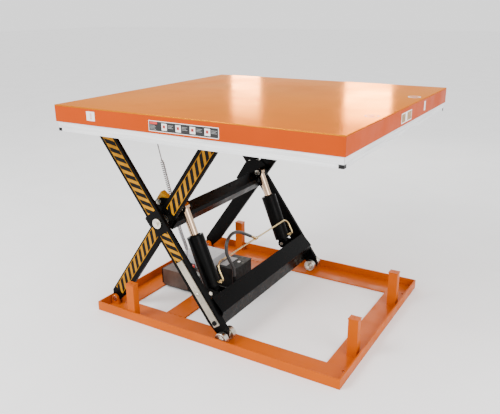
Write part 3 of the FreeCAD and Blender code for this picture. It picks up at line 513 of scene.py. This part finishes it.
# ---------------------------------------------------------------- ribs of the safety bar extrusion
RIB_STANDS = 1.2
RIB_HEIGHT = 3
for height in (1128, 1140, 1157):
    for side in (-1, 1):
        block(f"bar_rib_side{height}_{side + 1}", (BAR_CORNER - BAR_X, side * BAR_Y, height),
              (BAR_X - BAR_CORNER, side * (BAR_Y + RIB_STANDS), height + RIB_HEIGHT),
              MATERIALS["bar_aluminium"], "safety_bar")
        block(f"bar_rib_end{height}_{side + 1}", (side * BAR_X, BAR_CORNER - BAR_Y, height),
              (side * (BAR_X + RIB_STANDS), BAR_Y - BAR_CORNER, height + RIB_HEIGHT),
              MATERIALS["bar_aluminium"], "safety_bar")


# ---------------------------------------------------------------- weld beads
# shares of a bead's size
BEAD_SPACING = 0.9
BEAD_RADIUS = 0.62


def weld(name, start, end, size, body, material):
    """A row of overlapping beads between two points, in millimetres."""
    a, b = Vector(start), Vector(end)
    number = max(2, int((b - a).length / (size * BEAD_SPACING)))
    vertices, faces = [], []
    rings, sides = 4, 7
    for i in range(number):
        middle = a + (b - a) * (i + 0.5) / number
        first_vertex = len(vertices)
        for r in range(rings + 1):
            tilt = math.pi * r / rings
            for k in range(sides):
                turn_by = 2 * math.pi * k / sides
                vertices.append((middle + size * BEAD_RADIUS * Vector(
                    (math.sin(tilt) * math.cos(turn_by), math.sin(tilt) * math.sin(turn_by),
                     math.cos(tilt)))) / 1000)
        for r in range(rings):
            for k in range(sides):
                n = (k + 1) % sides
                base = first_vertex + r * sides
                faces.append((base + k, base + n, base + sides + n, base + sides + k))
    bead = mesh_object(name, vertices, faces, material, body, smooth=True)


POST_HALF_X, POST_HALF_Y = 27, 21.5
POST_BEAD = 5
for number, (x, y) in enumerate(((-545, -588), (-545, 588), (706, -316), (706, 316))):
    ring = [(x + sx * POST_HALF_X, y + sy * POST_HALF_Y, RAIL_TOP + 1)
            for sx, sy in ((-1, -1), (1, -1), (1, 1), (-1, 1))]
    for edge, (start, end) in enumerate(zip(ring, ring[1:] + ring[:1])):
        weld(f"post_weld{number}_{edge}", start, end, POST_BEAD, "root",
             MATERIALS["base_paint"])

PLATE_BEAD = 4
BEAD_INSET = 18
BEAD_STEP = 35
BEAD_LENGTH = 22
# two runs at each end of the cross plate, one laid over the other
for number in range(2):
    for side, y in ((-1, CROSS_NEAR), (1, CROSS_FAR)):
        for piece in range(3):
            start = CROSS_LEFT + BEAD_INSET + BEAD_STEP * piece
            weld(f"plate_weld{number}_{side + 1}_{piece}", (start, y, RAIL_TOP),
                 (start + BEAD_LENGTH, y, RAIL_TOP), PLATE_BEAD, "root", WELD)

# ---------------------------------------------------------------- power pack details
block("lid_cover", (-343, 12, LID_TOP), (-290, 150, LID_TOP + 1), MATERIALS["lid_plastic"],
      "root")
block("box_window", (-262, 98, LID_TOP), (-246, 118, LID_TOP + 1.5), LABEL_WHITE, "root")

# ---------------------------------------------------------------- corners of the safety bar
# bright covers over the upper part of the corner caps: one along each side, one along each end
COVER_LOW = 1138
COVER_STANDS = 0.6
COVER_SINKS = 0.1
for sx in (-1, 1):
    for sy in (-1, 1):
        far = (sx * (BAR_X + COVER_STANDS), sy * (BAR_Y + COVER_STANDS), SKIRT_LOW)
        side_start = (sx * (BAR_X - BAR_CORNER), sy * (BAR_Y - COVER_SINKS), COVER_LOW)
        end_start = (sx * (BAR_X - COVER_SINKS), sy * (BAR_Y - BAR_CORNER), COVER_LOW)
        for face, start in enumerate((side_start, end_start)):
            block(f"corner_cover{sx + 1}{sy + 1}{face}", start, far, MATERIALS["bar_aluminium"],
                  "safety_bar")

# ---------------------------------------------------------------- second bolt of the safety stay
BOLT_FROM_ROLLER = 270
BOLT_RADIUS = 0.009
BOLT_HEIGHT = 0.005
bolt_x = PIVOT_X + (ARM - BOLT_FROM_ROLLER) * math.cos(theta)
bolt_z = PIN_Z + BOLT_FROM_ROLLER * math.sin(theta)
bolt_foot = Vector((bolt_x, STAY_FACE, bolt_z)) / 1000
bolt = tube("stay_bolt", [bolt_foot, bolt_foot - Vector((0, BOLT_HEIGHT, 0))], BOLT_RADIUS,
            MATERIALS["zinc_steel"], sides=6)
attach(bolt, "stay")

# ---------------------------------------------------------------- floor and lights
floor_material, tree, shader = new_material("floor")
tree.links.new(ramp(tree, noise(tree, 2), grey(0.93), grey(0.96)), shader.inputs["Base Color"])
shader.inputs["Roughness"].default_value = 0.9
shader.inputs["Specular IOR Level"].default_value = 0.1
FLOOR_REACH = 40
FLOOR_GAP = 0.001
floor_corners = [(FLOOR_REACH * sx, FLOOR_REACH * sy, -FLOOR_GAP)
                 for sx, sy in ((-1, -1), (1, -1), (1, 1), (-1, 1))]
floor = mesh_object("floor", floor_corners, [(0, 1, 2, 3)], floor_material)

world = bpy.data.worlds.new("studio")
bpy.context.scene.world = world
world.use_nodes = True
world.node_tree.nodes["Background"].inputs["Color"].default_value = (1, 1, 1, 1)
world.node_tree.nodes["Background"].inputs["Strength"].default_value = 1.5


def lamp(name, place, aim, size, power, color=(1, 1, 1)):
    data = bpy.data.lights.new(name, "AREA")
    data.shape = "RECTANGLE"
    data.size, data.size_y = size
    data.energy = power
    data.color = color
    light = bpy.data.objects.new(name, data)
    light.location = place
    light.rotation_euler = (Vector(aim) - Vector(place)).to_track_quat("-Z", "Y").to_euler()
    bpy.context.collection.objects.link(light)


lamp("key", (-2.5, -4.5, 4.5), (0, 0, 0.6), (2.5, 2.5), 360)
lamp("fill", (4.5, -2.0, 2.5), (0, 0, 0.6), (3, 3), 180)
lamp("window_a", (-2.92, 4.57, 1.88), (-0.33, 0.34, 1.25), (0.4, 0.55), 14, (1.0, 0.9, 0.75))
lamp("window_b", (-1.12, 4.75, 2.0), (0.56, 0.1, 1.25), (0.6, 0.4), 22, (1.0, 0.95, 0.85))
